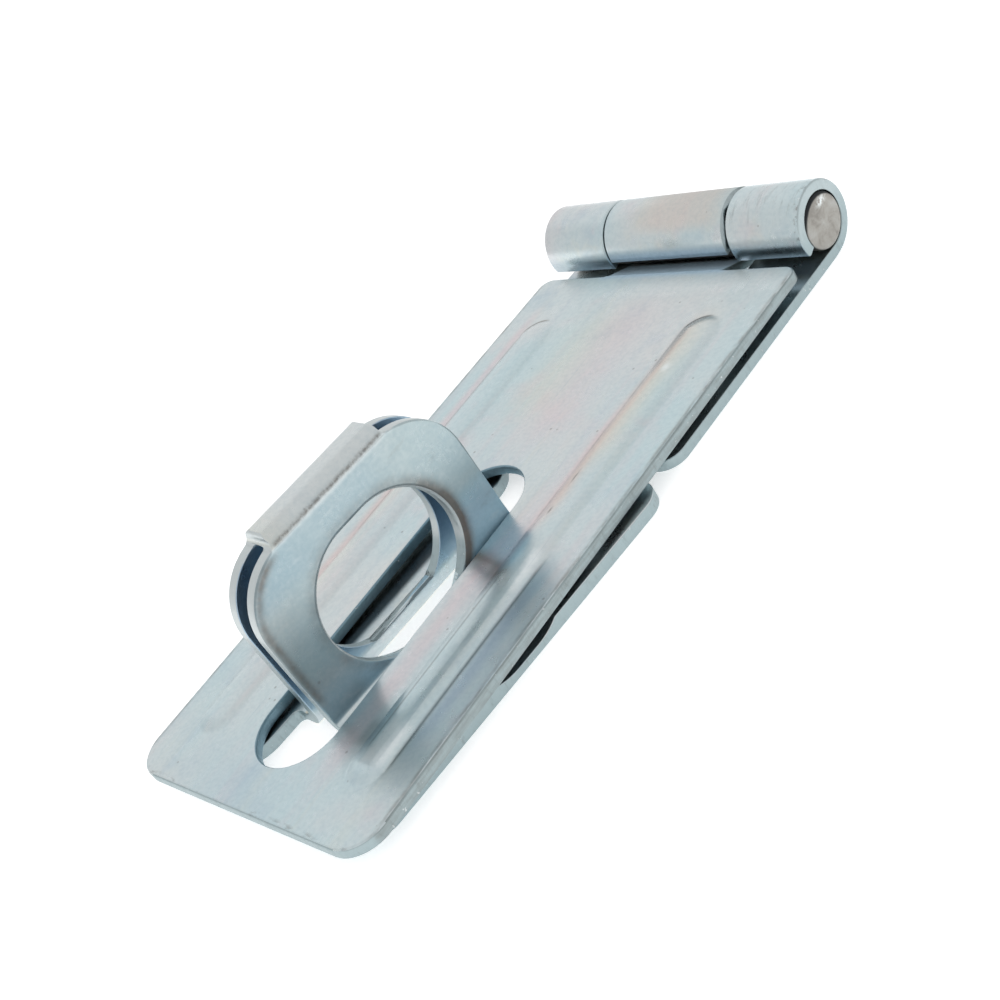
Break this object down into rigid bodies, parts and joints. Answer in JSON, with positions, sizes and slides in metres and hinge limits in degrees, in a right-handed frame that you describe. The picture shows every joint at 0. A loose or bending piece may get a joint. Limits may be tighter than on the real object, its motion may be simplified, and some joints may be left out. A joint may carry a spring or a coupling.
{
  "type": "safety hasp and staple",
  "caption": "Flat steel safety hasp closed over its folded staple: a slotted strap hinged to a short plate, with an eye for a padlock.",
  "frame": {"origin": "middle of the hinge plate's three screw holes, on the face that is screwed down", "axes": "+Z out of the surface that the hasp is screwed to, +X from the hinge towards the strap's free end, Y along the hinge pin"},
  "size_m": [0.0861, 0.0393, 0.0205],
  "materials": {
    "zinc_plate": "bright blue-white zinc plate with pink and yellow streaks",
    "bare_steel": "bare cut steel"
  },
  "bodies": {
    "base": {"hinge_plate": "zinc_plate", "hinge_pin": "bare_steel", "staple": "zinc_plate"},
    "strap": {"hasp_strap": "zinc_plate"}
  },
  "joints": [
    {"name": "strap_hinge", "type": "hinge", "parent": "base", "child": "strap", "pos_m": [-0.0195, 0, 0.00438], "axis": [0, -1, 0], "range_deg": [0, 180]}
  ]
}
